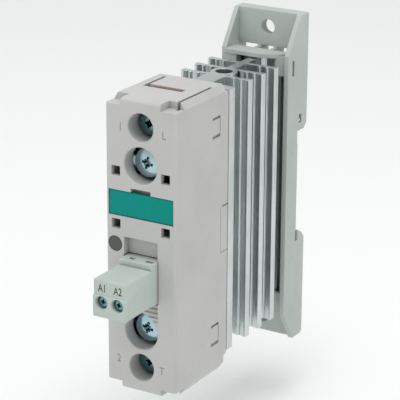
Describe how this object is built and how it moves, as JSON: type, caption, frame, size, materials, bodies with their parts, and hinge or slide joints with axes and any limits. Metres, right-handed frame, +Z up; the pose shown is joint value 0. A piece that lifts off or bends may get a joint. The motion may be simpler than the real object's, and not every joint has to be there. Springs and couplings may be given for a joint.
{
  "type": "solid state relay",
  "caption": "Narrow upright solid state relay: a flat plastic case with screw terminals and a plug-in control connector, on a finned aluminium heat sink in a rail base with screw-on tabs.",
  "frame": {"origin": "centre of the flat face that rests on the mounting rail", "axes": "+Y from the front towards the rail, +Z up along the device's length, +X to the right seen from the front"},
  "size_m": [0.0226, 0.091, 0.1018],
  "materials": {
    "case_grey": "fine matte moulding",
    "base_grey": "fine matte moulding",
    "plug_grey": "fine matte moulding",
    "plate_teal": "satin",
    "window_dark": "smooth, dark tinted",
    "aluminium": "extruded and sawn",
    "zinc": "zinc plated",
    "copper": "bare copper",
    "tin": "tinned",
    "board_green": "lacquered laminate",
    "black_plastic": "matte",
    "varistor_blue": "dipped resin",
    "led_yellow": "clear resin",
    "ceramic_white": "sintered ceramic",
    "silicon": "polished chip",
    "foil_white": "soft filled silicone"
  },
  "bodies": {
    "base": {"mounting_base": "base_grey", "heat_sink": "aluminium", "case_shell": "case_grey", "status_window": "window_dark", "upper_terminal_bar": "copper", "upper_terminal_nut": "zinc", "upper_case_screw": "zinc", "lower_terminal_bar": "copper", "lower_terminal_nut": "zinc", "lower_case_screw": "zinc", "control_header": "black_plastic", "header_pin_a1": "tin", "header_pin_a2": "tin", "circuit_board": "board_green", "status_led": "led_yellow", "optocoupler": "black_plastic", "varistor": "varistor_blue", "resistor_1": "black_plastic", "resistor_2": "black_plastic", "power_substrate": "ceramic_white", "thyristor_chip_1": "silicon", "thyristor_chip_2": "silicon", "module_plate": "copper", "thermal_foil": "foil_white"},
    "spring": {"rail_spring": "tin"},
    "plate": {"marking_plate": "plate_teal"},
    "upper_saddle": {"upper_clamp_saddle": "zinc"},
    "upper_screw": {"upper_terminal_screw": "zinc"},
    "lower_saddle": {"lower_clamp_saddle": "zinc"},
    "lower_screw": {"lower_terminal_screw": "zinc"},
    "plug": {"control_plug": "plug_grey", "plug_contact_a1": "tin", "plug_contact_a2": "tin"},
    "screw_a1": {"plug_screw_a1": "zinc"},
    "screw_a2": {"plug_screw_a2": "zinc"},
    "clamp_a1": {"plug_clamp_a1": "tin"},
    "clamp_a2": {"plug_clamp_a2": "tin"}
  },
  "joints": [
    {"name": "rail_spring_flex", "type": "slide", "parent": "base", "child": "spring", "axis": [0, 0, 1], "range_m": [0, 0.001], "stiffness_N_per_m": 3000},
    {"name": "plate_pull_off", "type": "slide", "parent": "base", "child": "plate", "axis": [0, -1, 0], "range_m": [0, 0.003]},
    {"name": "upper_saddle_travel", "type": "slide", "parent": "base", "child": "upper_saddle", "axis": [0, 1, 0], "range_m": [-0.0014, 0.0019]},
    {"name": "upper_screw_turn", "type": "hinge", "parent": "upper_saddle", "child": "upper_screw", "pos_m": [0, -0.0652, 0.0242], "axis": [0, 1, 0], "range_deg": [-631, 856]},
    {"name": "lower_saddle_travel", "type": "slide", "parent": "base", "child": "lower_saddle", "axis": [0, 1, 0], "range_m": [-0.0014, 0.0019]},
    {"name": "lower_screw_turn", "type": "hinge", "parent": "lower_saddle", "child": "lower_screw", "pos_m": [0, -0.0652, -0.0242], "axis": [0, 1, 0], "range_deg": [-631, 856]},
    {"name": "plug_pull_off", "type": "slide", "parent": "base", "child": "plug", "axis": [0, -1, 0], "range_m": [0, 0.012]},
    {"name": "screw_a1_turn", "type": "hinge", "parent": "plug", "child": "screw_a1", "pos_m": [-0.00254, -0.0841, -0.0105], "axis": [0, 1, 0], "range_deg": [0, 1730]},
    {"name": "clamp_a1_lift", "type": "slide", "parent": "plug", "child": "clamp_a1", "axis": [0, -1, 0], "range_m": [0, 0.0024]},
    {"name": "screw_a2_turn", "type": "hinge", "parent": "plug", "child": "screw_a2", "pos_m": [0.00254, -0.0841, -0.0105], "axis": [0, 1, 0], "range_deg": [0, 1730]},
    {"name": "clamp_a2_lift", "type": "slide", "parent": "plug", "child": "clamp_a2", "axis": [0, -1, 0], "range_m": [0, 0.0024]}
  ],
  "couplings": [
    {"joint": "upper_screw_turn", "follows": "upper_saddle_travel", "rad_per_m": 7854},
    {"joint": "lower_screw_turn", "follows": "lower_saddle_travel", "rad_per_m": 7854},
    {"joint": "screw_a1_turn", "follows": "clamp_a1_lift", "rad_per_m": 12566},
    {"joint": "screw_a2_turn", "follows": "clamp_a2_lift", "rad_per_m": 12566}
  ]
}
